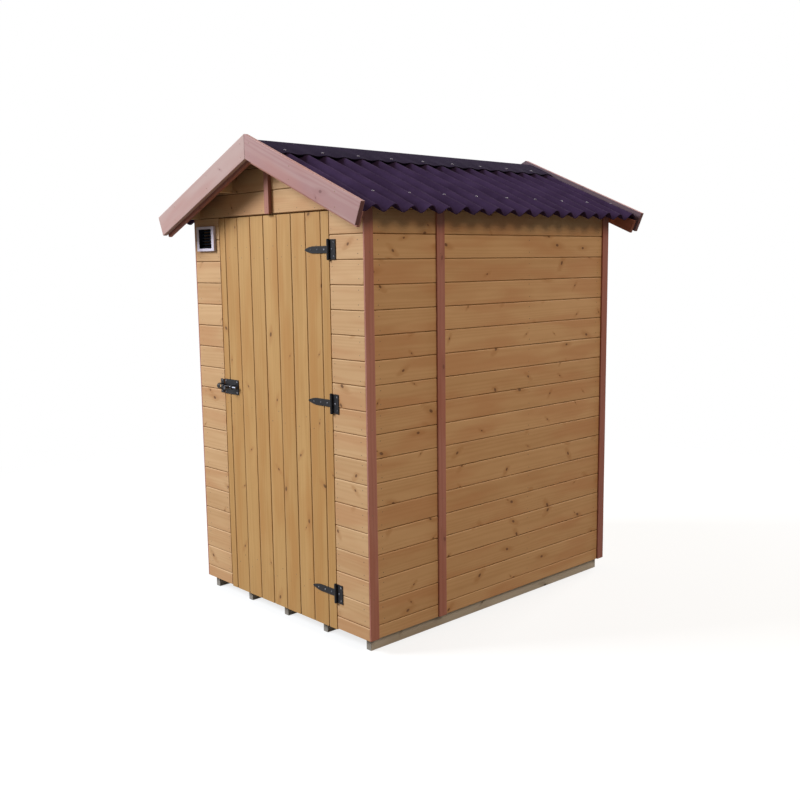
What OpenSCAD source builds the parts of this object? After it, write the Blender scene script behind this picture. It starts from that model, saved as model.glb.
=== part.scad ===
// Wooden outhouse: a panel-built privy on bearers, with a ledged door, a vent and a corrugated roof.
// Front is -Y, up is +Z, and the origin is on the ground under the middle of the roof.

/* [Walls] */
// Width over the side cladding
body_w = 1157; // [950:1:1500]
// Depth over the front and back cladding
body_d = 1535; // [1200:1:2000]
// Thickness of the cladding boards
clad_t = 16; // [12:1:20]
// Height of the cladding's lower edge above the ground
clad_foot = 52; // [35:1:56]
// Height of the wall panels' upper edge above the ground
wall_top = 1719; // [1620:1:1900]
// Width of the panels beside the door
strip_w = 195; // [180:1:240]
// Distance from the front face back to the joint of the side panels
panel_joint = 401; // [300:1:560]
// Width of a stud along its wall
stud_w = 28; // [22:1:30]
// Depth of a stud into the room
stud_d = 45; // [40:1:60]

/* [Base] */
// Width of a bearer
bearer_w = 28; // [22:1:45]
// Height of a bearer
bearer_h = 58; // [56:1:90]
// Distance of the outer bearers inside the side cladding's face
bearer_inset = 20.5; // [17:0.5:60]
// Distance of the bearer ends behind the cladding face
bearer_recess = 24; // [22:1:40]
// Thickness of the floor boards
floor_t = 19; // [15:1:28]

/* [Door] */
// Thickness of the door leaf
door_t = 16; // [12:1:20]
// Height of the leaf's lower edge above the ground
door_foot = 46; // [30:1:60]
// Gap round the leaf, and between the leaf and its stops
door_gap = 5; // [5:0.5:8]
// Height of a ledge across the back of the leaf
ledge_h = 90; // [60:1:120]
// Thickness of the ledges and braces
ledge_t = 18; // [14:1:24]
// Distance from the leaf's ends to the outer ledges
ledge_end = 150; // [100:1:250]
// Width of a diagonal brace
brace_w = 70; // [50:1:95]
// Reach of the stops into the doorway
stop_reach = 15; // [10:1:20]
// Thickness of the stops
stop_t = 18; // [12:1:20]

/* [Hinges] */
// Distance of the upper hinge below the top of the leaf
upper_hinge = 145; // [80:1:300]
// Distance of the middle hinge below the top of the leaf
middle_hinge = 742; // [500:1:1000]
// Distance of the lower hinge above the foot of the leaf
lower_hinge = 154; // [80:1:300]
// Length of a strap from the pin to its tip
strap_len = 150; // [110:1:240]
// Height of a strap
strap_h = 28; // [22:1:34]
// Radius of the strap's tip
strap_tip_r = 3.5; // [2:0.5:8]
// Length of the strap's spear point
taper_len = 54; // [30:1:80]
// Width of the fixed plate beside the pin
plate_w = 39; // [30:1:55]
// Height of the fixed plate
plate_h = 77; // [60:1:110]
// Thickness of straps and plates
hinge_t = 3; // [2:0.5:3]
// Radius of the hinge pins
pin_r = 3; // [2:0.25:3.5]
// Thickness of the knuckles' wall
knuckle_t = 3; // [2:0.25:4]

/* [Latch] */
// Height of the latch above the ground
latch_z = 978; // [800:1:1100]
// Width of the plate on the door
latch_w = 105; // [105:1:130]
// Height of the plate on the door
latch_h = 66; // [50:1:90]
// Thickness of the latch plates
latch_t = 3; // [2:0.5:4]
// Radius of the bolt
bolt_r = 6.5; // [5:0.25:8]
// Distance that the bolt slides into the keeper
bolt_throw = 30; // [20:1:32]
// Width of one guide of the bolt
guide_w = 10; // [8:1:12]
// Width of the keeper's plate
keeper_w = 25; // [18:1:50]
// Height of the keeper's plate
keeper_h = 62; // [40:1:80]

/* [Vent] */
// Distance of the vent's centre below the top of the panel
vent_drop = 89; // [70:1:400]
// Width of the vent's frame
vent_w = 138; // [126:1:160]
// Height of the vent's frame
vent_h = 108; // [106:1:140]
// Width of the hole for the vent
mouth_w = 106; // [84:1:112]
// Height of the hole for the vent
mouth_h = 90; // [70:1:94]
// Reach of the vent's frame in front of the cladding
rim_reach = 12; // [8:1:20]
// Thickness of the vent's plastic
vent_t = 3; // [2:0.5:4]
// Number of louvre blades
louvre_count = 6; // [4:1:8]

/* [Roof] */
// Slope of the roof in degrees
roof_pitch = 23; // [18:0.5:30]
// Height of the eave plate at the cladding face
eave_plate_h = 18; // [12:1:40]
// Width of the eave plates and purlins
purlin_w = 45; // [35:1:60]
// Height of the purlins
purlin_h = 40; // [30:1:44]
// Width of the ridge beam
ridge_w = 90; // [84:1:120]
// Height of the ridge beam
ridge_h = 45; // [40:1:60]
// Distance between two waves of the sheets
wave_pitch = 95; // [76:1:100]
// Height of the waves with the sheet's thickness
wave_h = 31; // [24:1:40]
// Thickness of the sheets
sheet_t = 3; // [2:0.5:4]
// Shift of the waves towards the back
wave_shift = 44; // [0:1:94]
// Reach of the sheets past the side cladding
eave_reach = 87; // [60:1:100]
// Length of one wing of the ridge cap along the slope
cap_wing = 170; // [140:1:220]
// Radius of the ridge cap's crown
cap_r = 120; // [90:1:140]
// Thickness of the ridge cap
cap_t = 3; // [2:0.5:4]

/* [Bargeboards and trims] */
// Reach of the bargeboards in front of the gable cladding
barge_out = 114; // [80:1:160]
// Reach of the bargeboards past the side cladding
barge_reach = 125; // [115:1:160]
// Depth of a bargeboard
barge_h = 90; // [85:1:120]
// Thickness of a bargeboard
barge_t = 20; // [16:1:28]
// Height of a bargeboard's upper edge over the waves
barge_lip = 12; // [4:1:20]
// Thickness of the battens behind the bargeboards
barge_batten_t = 16; // [10:1:24]
// Distance that those battens stop short of the bargeboards' feet
barge_batten_short = 12; // [0:1:40]
// Distance that those battens hang below the bargeboards
barge_batten_drop = 12; // [0:1:24]
// Thickness of the trims on the sides
trim_t = 8; // [6:1:20]
// Width of the corner trims
corner_trim_w = 44; // [24:1:60]
// Width of the trims over the panel joints
joint_trim_w = 44; // [34:1:60]
// Width of the battens on the gables
batten_w = 30; // [24:1:50]
// Thickness of the battens on the gables
batten_t = 16; // [10:1:25]

/* [Hidden] */
$fn = 48;

left = -1;
right = 1;
over = 1; // reach of a cut past the face that it opens
bearer_count = 5;
bearer_pitch = (body_w - 2 * bearer_inset - bearer_w) / (bearer_count - 1);

half_w = body_w / 2;
front_y = -body_d / 2;
back_y = body_d / 2;
inner_x = half_w - clad_t;
inner_front = front_y + clad_t;
inner_back = back_y - clad_t;
floor_top = bearer_h + floor_t;

// Doorway
doorway_x = half_w - strip_w;
door_w = 2 * (doorway_x - door_gap);
door_top = wall_top - door_gap;
stop_front = front_y + door_t + door_gap;
leaf_back = front_y + door_t;
ledge_x = doorway_x - stop_reach - door_gap;
ledge_zs = [door_foot + ledge_end, (door_foot + door_top) / 2, door_top - ledge_end];

// Roof lines: the timbers' upper faces lie in two planes that meet at the ridge line
ridge_z = wall_top + eave_plate_h + half_w * tan(roof_pitch);
sheet_seat = 0.3;
crest = sheet_seat + wave_h;
cap_under = crest + sheet_seat;
barge_upper = crest + barge_lip;
barge_lower = barge_upper - barge_h;
sheet_head = (cap_r - cap_under) * tan(roof_pitch);
sheet_foot = (half_w + eave_reach) / cos(roof_pitch);
barge_foot = (half_w + barge_reach - barge_upper * sin(roof_pitch)) / cos(roof_pitch);
roof_front = front_y - barge_out + barge_t;
roof_back = back_y + barge_out - barge_t;
timber_front = roof_front + barge_batten_t;
timber_back = roof_back - barge_batten_t;
sheet_end_gap = 0.5;
purlin_x = half_w / 2;
purlin_span = [purlin_x - purlin_w / 2, purlin_x + purlin_w / 2];
purlin_under = ridge_z - purlin_x * tan(roof_pitch) - purlin_h;
ridge_under = ridge_z - ridge_h;
wave_steps = 10;
cap_steps = 12;

// Hinges
hinge_zs = [door_foot + lower_hinge, door_top - middle_hinge, door_top - upper_hinge];
pin_x = doorway_x - door_gap / 2;
knuckle_r = pin_r + knuckle_t;
knuckle_gap = 0.5;
pin_y = front_y - knuckle_r - knuckle_gap;
pin_fit = 0.02;
bore_fit = 0.05;
pin_head_r = pin_r + 1.5;
pin_head_t = 2;
taper_steps = 8;

// Latch
bolt_lift = 4;
plate_inset = 2;
tip_inset = 1;
tail_inset = 2;
latch_left = -door_w / 2 + plate_inset;
latch_right = latch_left + latch_w;
bolt_y = front_y - latch_t - bolt_r - bolt_lift;
bolt_tip = latch_left + tip_inset;
knob_r = 5;
knob_head_r = 8;
knob_neck = 14;
knob_head_t = 8;
knob_gap = 5;
guide_span = 2 * (guide_w + knob_gap + knob_head_r) + bolt_throw;
guide_right = latch_left + guide_span;
knob_x = guide_right - guide_w - knob_gap - knob_head_r;
bolt_end = guide_right + bolt_throw - tail_inset;
keeper_right = -doorway_x - plate_inset;
keeper_left = keeper_right - keeper_w;
keeper_edge = 2;
keeper_loop_w = keeper_w - 2 * keeper_edge;
keeper_fit = 3;
keeper_bore_r = bolt_r + keeper_fit;
guide_bore_r = bolt_r + bore_fit;

// Vent
vent_x = -(half_w - strip_w / 2);
vent_z = wall_top - vent_drop;
louvre_tilt = 35;
louvre_d = 15;
louvre_t = 2;
louvre_recess = 6;

// Height of the timbers' upper face over a place across the house
function roof_z(x) = ridge_z - abs(x) * tan(roof_pitch);

// A block between two limits on each axis
module block(x, y, z) {
    translate([x[0], y[0], z[0]])
        cube([x[1] - x[0], y[1] - y[0], z[1] - z[0]]);
}

// An outline across the house, drawn from one depth to another
module across(y) {
    translate([0, y[1], 0])
        rotate([90, 0, 0])
            linear_extrude(y[1] - y[0])
                children();
}

// A place on the right or left roof slope: x runs down the slope and z stands off the timbers
module on_slope(side) {
    mirror([side == left ? 1 : 0, 0, 0])
        translate([0, 0, ridge_z])
            rotate([0, roof_pitch, 0])
                children();
}

// A place on the hinge line at a given height
module at_hinge(z) {
    translate([pin_x, pin_y, z])
        children();
}

module bearers() {
    color("dimgray")
        for (i = [0 : bearer_count - 1]) {
            x = (i - (bearer_count - 1) / 2) * bearer_pitch;
            block([x - bearer_w / 2, x + bearer_w / 2],
                  [front_y + bearer_recess, back_y - bearer_recess], [0, bearer_h]);
        }
}

module floor_boards() {
    color("burlywood")
        block([-inner_x, inner_x], [front_y + bearer_recess, back_y - bearer_recess], [bearer_h, floor_top]);
}

// One of the two narrow panels beside the door
module front_panel(side) {
    near = side * doorway_x;
    far = side * half_w;
    block([min(near, far), max(near, far)], [front_y, inner_front], [clad_foot, wall_top]);
}

module front_panel_left() {
    color("tan")
        difference() {
            front_panel(left);
            translate([vent_x, front_y + clad_t / 2, vent_z])
                cube([mouth_w, 2 * clad_t, mouth_h], center = true);
        }
}

module front_panel_right() {
    color("tan")
        front_panel(right);
}

// The triangular cladding over a wall, let in round the timbers that run out to the bargeboards
module gable(y) {
    across(y)
        difference() {
            polygon([
                [-half_w, wall_top], [half_w, wall_top], [half_w, roof_z(half_w)],
                [0, ridge_z], [-half_w, roof_z(half_w)]
            ]);
            for (side = [left, right])
                mirror([side == left ? 1 : 0, 0]) {
                    notch([half_w - purlin_w, half_w + over], wall_top - over);
                    notch(purlin_span, purlin_under);
                    notch([-over, ridge_w / 2], ridge_under);
                }
        }
}

// The room that a roof timber takes in a gable, open at the top
module notch(x, under) {
    translate([x[0], under])
        square([x[1] - x[0], ridge_z + over - under]);
}

module front_gable() {
    color("tan")
        gable([front_y, inner_front]);
}

module back_wall() {
    color("tan")
        block([-half_w, half_w], [inner_back, back_y], [clad_foot, wall_top]);
}

module back_gable() {
    color("tan")
        gable([inner_back, back_y]);
}

// Side cladding between two depths
module side_wall(side, y) {
    block([side == left ? -half_w : inner_x, side == left ? -inner_x : half_w], y, [clad_foot, wall_top]);
}

module left_wall_front() {
    color("peru")
        side_wall(left, [inner_front, front_y + panel_joint]);
}

module left_wall_rear() {
    color("peru")
        side_wall(left, [front_y + panel_joint, inner_back]);
}

module right_wall_front() {
    color("peru")
        side_wall(right, [inner_front, front_y + panel_joint]);
}

module right_wall_rear() {
    color("peru")
        side_wall(right, [front_y + panel_joint, inner_back]);
}

// A stud of a front or back panel
module cross_post(x, y) {
    block([x, x + stud_w], [y, y + stud_d], [floor_top, wall_top]);
}

module front_posts() {
    color("wheat")
        for (x = [-inner_x, -doorway_x - stud_w, doorway_x, inner_x - stud_w])
            cross_post(x, inner_front);
}

module back_posts() {
    color("wheat")
        for (x = [-inner_x, -stud_w / 2, inner_x - stud_w])
            cross_post(x, inner_back - stud_d);
}

// Studs of one side: two end studs, a double one at the panel joint and one in the wide panel
module side_posts(side) {
    joint_y = front_y + panel_joint;
    last_y = inner_back - stud_d - stud_w;
    spans = [
        [inner_front + stud_d, stud_w], [joint_y - stud_w, 2 * stud_w],
        [(joint_y + inner_back - stud_w) / 2, stud_w], [last_y, stud_w]
    ];
    for (s = spans)
        block([side == left ? -inner_x : inner_x - stud_d, side == left ? -inner_x + stud_d : inner_x],
              [s[0], s[0] + s[1]], [floor_top, wall_top]);
}

module left_posts() {
    color("wheat")
        side_posts(left);
}

module right_posts() {
    color("wheat")
        side_posts(right);
}

module gable_rails() {
    rail_x = half_w - purlin_w;
    color("wheat")
        for (y = [inner_front, inner_back - stud_d])
            block([-rail_x, rail_x], [y, y + stud_d], [wall_top, wall_top + stud_w]);
}

module door_stops() {
    stop_y = [stop_front, stop_front + stop_t];
    inside = doorway_x - stop_reach;
    color("wheat") {
        block([-doorway_x, -inside], stop_y, [floor_top, wall_top]);
        block([inside, doorway_x], stop_y, [floor_top, wall_top]);
        block([-inside, inside], stop_y, [wall_top - stop_reach, wall_top]);
    }
}

// A timber under the roof sheets, bevelled to the slope, between two places across the house
module roof_timber(x, under) {
    across([timber_front, timber_back])
        polygon([
            [x[0], under], [x[1], under], [x[1], roof_z(x[1])],
            if (x[0] < 0 && x[1] > 0) [0, ridge_z],
            [x[0], roof_z(x[0])]
        ]);
}

module eave_plate(side) {
    mirror([side == left ? 1 : 0, 0, 0])
        roof_timber([half_w - purlin_w, half_w], wall_top);
}

module eave_plate_left() {
    color("wheat")
        eave_plate(left);
}

module eave_plate_right() {
    color("wheat")
        eave_plate(right);
}

module purlins() {
    color("wheat") {
        roof_timber(purlin_span, purlin_under);
        mirror([1, 0, 0])
            roof_timber(purlin_span, purlin_under);
    }
}

module ridge_beam() {
    color("wheat")
        roof_timber([-ridge_w / 2, ridge_w / 2], ridge_under);
}

// Middle line of the waves along the depth, and the point a given way off it square to the line
wave_a = (wave_h - sheet_t) / 2;
function wave_angle(y) = 360 * (y - wave_shift) / wave_pitch;
function wave_tilt(y) = atan(wave_a * 2 * PI / wave_pitch * cos(wave_angle(y)));
function wave_point(y, off) = [
    y - off * sin(wave_tilt(y)),
    sheet_seat + wave_h / 2 + wave_a * sin(wave_angle(y)) + off * cos(wave_tilt(y))
];

// A corrugated sheet: the wave outline drawn down the slope, trimmed at the bargeboards
module roof_sheet(side) {
    ends = [roof_front + sheet_end_gap, roof_back - sheet_end_gap];
    step = wave_pitch / wave_steps;
    count = ceil((ends[1] - ends[0]) / step) + 2;
    ys = [for (i = [0 : count]) ends[0] - step + i * step];
    upper = [for (y = ys) wave_point(y, sheet_t / 2)];
    lower = [for (i = [count : -1 : 0]) wave_point(ys[i], -sheet_t / 2)];
    on_slope(side)
        translate([sheet_head, 0, 0])
            rotate([90, 0, 90])
                linear_extrude(sheet_foot - sheet_head)
                    intersection() {
                        polygon(concat(upper, lower));
                        translate([ends[0], 0])
                            square([ends[1] - ends[0], 2 * wave_h]);
                    }
}

module roof_sheet_left() {
    color("indigo")
        roof_sheet(left);
}

module roof_sheet_right() {
    color("indigo")
        roof_sheet(right);
}

// One face of the ridge cap: a round crown that runs into two straight wings
function cap_edge(side, off) = [
    side * (cap_wing * cos(roof_pitch) + off * sin(roof_pitch)),
    off * cos(roof_pitch) - cap_wing * sin(roof_pitch)
];
function cap_line(r, off) = [
    cap_edge(left, off),
    for (i = [0 : cap_steps])
        let (a = roof_pitch * (2 * i / cap_steps - 1))
            [r * sin(a), off / cos(roof_pitch) - r / cos(roof_pitch) + r * cos(a)],
    cap_edge(right, off)
];

module ridge_cap() {
    inner = cap_line(cap_r, cap_under);
    outer = cap_line(cap_r + cap_t, cap_under + cap_t);
    color("darkslategray")
        translate([0, 0, ridge_z])
            across([roof_front + sheet_end_gap, roof_back - sheet_end_gap])
                polygon(concat(outer, [for (i = [len(inner) - 1 : -1 : 0]) inner[i]]));
}

// A board along a roof slope: plumb at the ridge, square to the slope at the foot
module slope_board(side, y, upper, lower, foot) {
    c = cos(roof_pitch);
    s = sin(roof_pitch);
    mirror([side == left ? 1 : 0, 0, 0])
        translate([0, 0, ridge_z])
            across(y)
                polygon([
                    [0, upper / c], [0, lower / c],
                    [foot * c + lower * s, -foot * s + lower * c],
                    [foot * c + upper * s, -foot * s + upper * c]
                ]);
}

module bargeboard(side, y) {
    slope_board(side, y, barge_upper, barge_lower, barge_foot);
}

module bargeboard_front_left() {
    color("rosybrown")
        bargeboard(left, [roof_front - barge_t, roof_front]);
}

module bargeboard_front_right() {
    color("rosybrown")
        bargeboard(right, [roof_front - barge_t, roof_front]);
}

module bargeboard_rear_left() {
    color("rosybrown")
        bargeboard(left, [roof_back, roof_back + barge_t]);
}

module bargeboard_rear_right() {
    color("rosybrown")
        bargeboard(right, [roof_back, roof_back + barge_t]);
}

// Battens behind the bargeboards of one slope, under the ends of the sheet
module barge_battens(side) {
    for (y = [[roof_front, timber_front], [timber_back, roof_back]])
        slope_board(side, y, 0, barge_lower - barge_batten_drop, barge_foot - barge_batten_short);
}

module barge_battens_left() {
    color("saddlebrown")
        barge_battens(left);
}

module barge_battens_right() {
    color("saddlebrown")
        barge_battens(right);
}

// Trims of one side, over both corners and the panel joint
module side_trims(side) {
    joint_y = front_y + panel_joint;
    spans = [
        [front_y, front_y + corner_trim_w],
        [joint_y - joint_trim_w / 2, joint_y + joint_trim_w / 2],
        [back_y - corner_trim_w, back_y]
    ];
    for (y = spans)
        block([side == left ? -half_w - trim_t : half_w, side == left ? -half_w : half_w + trim_t],
              y, [clad_foot, wall_top]);
}

module left_trims() {
    color("sienna")
        side_trims(left);
}

module right_trims() {
    color("sienna")
        side_trims(right);
}

// A batten up the middle of a gable, from the door's gap to the ridge beam
module gable_batten(y) {
    block([-batten_w / 2, batten_w / 2], [y, y + batten_t], [wall_top, ridge_under]);
}

module gable_batten_front() {
    color("sienna")
        gable_batten(front_y - batten_t);
}

module gable_batten_rear() {
    color("sienna")
        gable_batten(back_y);
}

// An upright plate of the vent, centred on its mouth, between two depths in front of the cladding
module vent_slab(w, h, y) {
    block([vent_x - w / 2, vent_x + w / 2], [front_y + y[0], front_y + y[1]],
          [vent_z - h / 2, vent_z + h / 2]);
}

// The moulded frame: a face with a skirt back to the cladding and a sleeve through it
module vent_frame() {
    color("lavender")
        difference() {
            union() {
                difference() {
                    vent_slab(vent_w, vent_h, [-rim_reach, 0]);
                    vent_slab(vent_w - 2 * vent_t, vent_h - 2 * vent_t, [vent_t - rim_reach, over]);
                }
                vent_slab(mouth_w, mouth_h, [-rim_reach, clad_t]);
            }
            vent_slab(mouth_w - 2 * vent_t, mouth_h - 2 * vent_t, [-rim_reach - over, clad_t + over]);
        }
}

module vent_louvres() {
    clear_w = mouth_w - 2 * vent_t;
    clear_h = mouth_h - 2 * vent_t;
    pitch = clear_h / louvre_count;
    color("black")
        for (i = [0 : louvre_count - 1])
            translate([vent_x, front_y + louvre_recess, vent_z - clear_h / 2 + (i + 0.5) * pitch])
                rotate([louvre_tilt, 0, 0])
                    cube([clear_w, louvre_d, louvre_t], center = true);
}

// A strap bent over the bolt, with its two legs on the plate
module bolt_guide(x, w, bore_r) {
    r = bore_r + latch_t;
    translate([x, 0, latch_z]) {
        translate([0, bolt_y, 0])
            rotate([0, 90, 0])
                cylinder(r = r, h = w);
        block([0, w], [bolt_y, front_y - latch_t], [-r, r]);
    }
}

// The way of the bolt through its guides or keeper
module bolt_bore(x, r) {
    translate([x[0] - over, bolt_y, latch_z])
        rotate([0, 90, 0])
            cylinder(r = r, h = x[1] - x[0] + 2 * over);
}

module latch_keeper() {
    color("black")
        difference() {
            union() {
                block([keeper_left, keeper_right], [front_y - latch_t, front_y],
                      [latch_z - keeper_h / 2, latch_z + keeper_h / 2]);
                bolt_guide(keeper_left + keeper_edge, keeper_loop_w, keeper_bore_r);
            }
            bolt_bore([keeper_left, keeper_right], keeper_bore_r);
        }
}

module hinge_plates() {
    color("black")
        for (z = hinge_zs)
            hinge_plate(z);
}

// The fixed half of a hinge, with a knuckle above and below the strap's
module hinge_plate(z) {
    face = front_y - pin_y;
    slot_h = strap_h + 2 * knuckle_gap;
    slot_r = knuckle_r + over;
    at_hinge(z)
        difference() {
            union() {
                block([0, plate_w], [face - hinge_t, face], [-plate_h / 2, plate_h / 2]);
                cylinder(r = knuckle_r, h = plate_h, center = true);
            }
            cylinder(r = pin_r + pin_fit, h = plate_h + 2 * over, center = true);
            block([-slot_r, slot_r], [-slot_r, face + over], [-slot_h / 2, slot_h / 2]);
        }
}

module hinge_pins() {
    color("dimgray")
        for (z = hinge_zs)
            at_hinge(z) {
                cylinder(r = pin_r, h = plate_h, center = true);
                translate([0, 0, plate_h / 2])
                    cylinder(r = pin_head_r, h = pin_head_t);
                translate([0, 0, -plate_h / 2 - pin_head_t])
                    cylinder(r = pin_head_r, h = pin_head_t);
            }
}

module hinge_straps() {
    color("black")
        for (z = hinge_zs)
            hinge_strap(z);
}

// Half the height of a strap's spear point, from its root at 0 to its tip at 1
function spear_half(u) = strap_tip_r + (strap_h / 2 - strap_tip_r) * (1 - u * u);

// The moving half of a hinge: a straight strap that ends in a spear point
module hinge_strap(z) {
    face = front_y - pin_y;
    tip_x = strap_tip_r - strap_len;
    us = [for (i = [0 : taper_steps]) i / taper_steps];
    upper = [for (u = us) [tip_x + taper_len * (1 - u), spear_half(u)]];
    lower = [for (i = [taper_steps : -1 : 0]) [upper[i][0], -upper[i][1]]];
    at_hinge(z)
        difference() {
            union() {
                across([face - hinge_t, face]) {
                    polygon(concat([[0, -strap_h / 2], [0, strap_h / 2]], upper, lower));
                    translate([tip_x, 0])
                        circle(r = strap_tip_r);
                }
                cylinder(r = knuckle_r, h = strap_h, center = true);
            }
            cylinder(r = pin_r + bore_fit, h = strap_h + 2 * over, center = true);
        }
}

module door_leaf() {
    color("burlywood")
        block([-door_w / 2, door_w / 2], [front_y, leaf_back], [door_foot, door_top]);
}

module door_ledges() {
    color("wheat")
        for (z = ledge_zs)
            block([-ledge_x, ledge_x], [leaf_back, leaf_back + ledge_t], [z - ledge_h / 2, z + ledge_h / 2]);
}

// A diagonal between two ledges, rising from the hinge side to the latch side
module door_brace(z) {
    color("wheat")
        across([leaf_back, leaf_back + ledge_t])
            polygon([
                [ledge_x, z[0]], [ledge_x - brace_w, z[0]], [-ledge_x, z[1]], [-ledge_x + brace_w, z[1]]
            ]);
}

module door_braces() {
    for (i = [0 : len(ledge_zs) - 2])
        door_brace([ledge_zs[i] + ledge_h / 2, ledge_zs[i + 1] - ledge_h / 2]);
}

module latch_plate() {
    color("black")
        difference() {
            union() {
                block([latch_left, latch_right], [front_y - latch_t, front_y],
                      [latch_z - latch_h / 2, latch_z + latch_h / 2]);
                for (x = [latch_left, guide_right - guide_w])
                    bolt_guide(x, guide_w, guide_bore_r);
            }
            bolt_bore([latch_left, latch_right], guide_bore_r);
        }
}

// The bolt, drawn back clear of the keeper, with its knob between the guides
module latch_bolt() {
    color("silver") {
        translate([bolt_tip, bolt_y, latch_z])
            rotate([0, 90, 0])
                cylinder(r = bolt_r, h = bolt_end - bolt_tip);
        translate([knob_x, bolt_y, latch_z])
            rotate([90, 0, 0]) {
                cylinder(r = knob_r, h = bolt_r + knob_neck);
                translate([0, 0, bolt_r + knob_neck])
                    cylinder(r = knob_head_r, h = knob_head_t);
            }
    }
}

bearers();
floor_boards();
front_panel_left();
front_panel_right();
front_gable();
back_wall();
back_gable();
left_wall_front();
left_wall_rear();
right_wall_front();
right_wall_rear();
front_posts();
back_posts();
left_posts();
right_posts();
gable_rails();
door_stops();
eave_plate_left();
eave_plate_right();
purlins();
ridge_beam();
roof_sheet_left();
roof_sheet_right();
ridge_cap();
bargeboard_front_left();
bargeboard_front_right();
bargeboard_rear_left();
bargeboard_rear_right();
barge_battens_left();
barge_battens_right();
left_trims();
right_trims();
gable_batten_front();
gable_batten_rear();
vent_frame();
vent_louvres();
latch_keeper();
hinge_plates();
hinge_pins();
door_leaf();
door_ledges();
door_braces();
hinge_straps();
latch_plate();
latch_bolt();
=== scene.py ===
import math
import random

import bmesh
import bpy
from mathutils import Matrix, Vector


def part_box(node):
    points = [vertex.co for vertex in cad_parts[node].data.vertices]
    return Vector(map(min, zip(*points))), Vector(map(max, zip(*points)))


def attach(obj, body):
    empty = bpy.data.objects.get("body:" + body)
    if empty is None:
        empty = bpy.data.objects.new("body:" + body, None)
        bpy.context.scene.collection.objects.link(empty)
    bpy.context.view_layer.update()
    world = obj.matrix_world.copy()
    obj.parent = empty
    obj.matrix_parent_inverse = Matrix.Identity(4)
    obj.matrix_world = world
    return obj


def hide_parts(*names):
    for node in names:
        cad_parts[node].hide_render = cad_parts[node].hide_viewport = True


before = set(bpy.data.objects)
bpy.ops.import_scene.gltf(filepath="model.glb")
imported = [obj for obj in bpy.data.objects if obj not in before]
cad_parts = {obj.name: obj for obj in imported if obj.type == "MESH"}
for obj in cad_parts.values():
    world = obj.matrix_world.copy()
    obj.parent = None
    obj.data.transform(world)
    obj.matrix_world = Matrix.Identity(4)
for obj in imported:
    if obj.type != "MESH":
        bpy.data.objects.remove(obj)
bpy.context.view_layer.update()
scene = bpy.context.scene
mm = 0.001
xAxis, yAxis, zAxis = Vector((1, 0, 0)), Vector((0, 1, 0)), Vector((0, 0, 1))
print("outhouse: frame loaded with", len(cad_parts), "nodes")


def linear(hexColour):  # sRGB hex to linear
    parts = [int(hexColour[i:i + 2], 16) / 255 for i in (1, 3, 5)]
    return [p / 12.92 if p <= 0.04045 else ((p + 0.055) / 1.055) ** 2.4 for p in parts] + [1.0]


kinds = ("ShaderNode", "GeometryNode", "FunctionNode", "Node", "")  # what node names start with
smooth = dict(interpolation_type="SMOOTHSTEP")
times, timesPlus = dict(operation="MULTIPLY"), dict(operation="MULTIPLY_ADD")


def put(tree, kind, wires=(), **settings):  # one node, fed by the order or the names of its inputs; gives its outputs
    made = tree.nodes.new(next(start + kind for start in kinds if hasattr(bpy.types, start + kind)))
    for name, value in settings.items():
        setattr(made, name, value)
    for key, value in wires.items() if isinstance(wires, dict) else enumerate(wires):
        if isinstance(value, bpy.types.NodeSocket):
            tree.links.new(value, made.inputs[key])
        else:
            made.inputs[key].default_value = value
    return made.outputs


def blankMaterial(name):
    material = bpy.data.materials.new(name)
    material.use_nodes = True
    material.node_tree.nodes.clear()
    return material, material.node_tree


def newTree(name, sockets):
    tree = bpy.data.node_groups.new(name, "GeometryNodeTree")
    tree.interface.new_socket("Geometry", in_out="INPUT", socket_type="NodeSocketGeometry")
    tree.interface.new_socket("Geometry", in_out="OUTPUT", socket_type="NodeSocketGeometry")
    for label, kind in sockets.items():
        tree.interface.new_socket(label, in_out="INPUT", socket_type="NodeSocket" + kind)
    return tree, put(tree, "GroupInput")


def endTree(tree, geometry, material):  # copies made real, with their material
    real = put(tree, "RealizeInstances", (geometry,))[0]
    done = put(tree, "SetMaterial", {"Geometry": real, "Material": material})[0]
    put(tree, "GroupOutput", (done,))
    return tree


def placed(name, data):  # a new object in the scene
    obj = bpy.data.objects.new(name, data)
    scene.collection.objects.link(obj)
    return obj


def meshed(bm, name):  # a bmesh made a plain mesh
    mesh = bpy.data.meshes.new(name)
    bm.to_mesh(mesh)
    bm.free()
    return mesh


def evaluated(obj, allLayers):  # the plain mesh that modifiers give; their object goes
    depsgraph = bpy.context.evaluated_depsgraph_get()
    mesh = bpy.data.meshes.new_from_object(
        obj.evaluated_get(depsgraph), preserve_all_data_layers=allLayers, depsgraph=depsgraph)
    obj.modifiers.clear()
    bpy.data.objects.remove(obj)
    return mesh


def grow(tree, settings, base=None):  # runs a tree once
    carrier = placed("carrier", base or bpy.data.meshes.new("carrier"))
    maker = carrier.modifiers.new("maker", "NODES")
    maker.node_group = tree
    for item in tree.interface.items_tree:
        if item.item_type == "SOCKET" and item.in_out == "INPUT" and item.name in settings:
            maker[item.identifier] = settings[item.name]
    mesh = evaluated(carrier, True)
    mesh.materials.clear()  # Set Material leaves an empty first slot, which sawn faces would take
    mesh.materials.append(settings["Finish"])
    mesh.polygons.foreach_set("material_index", [0] * len(mesh.polygons))
    return mesh


def shade(mesh, angle):  # smooth, with edges over the angle kept sharp
    mesh.polygons.foreach_set("use_smooth", [True] * len(mesh.polygons))
    mesh.set_sharp_from_angle(angle=math.radians(angle))


def piece(name, mesh, body, slot, *nodes):
    mesh.name = name
    obj = placed(name, mesh)
    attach(obj, body)
    if nodes:
        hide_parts(*nodes)


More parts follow.
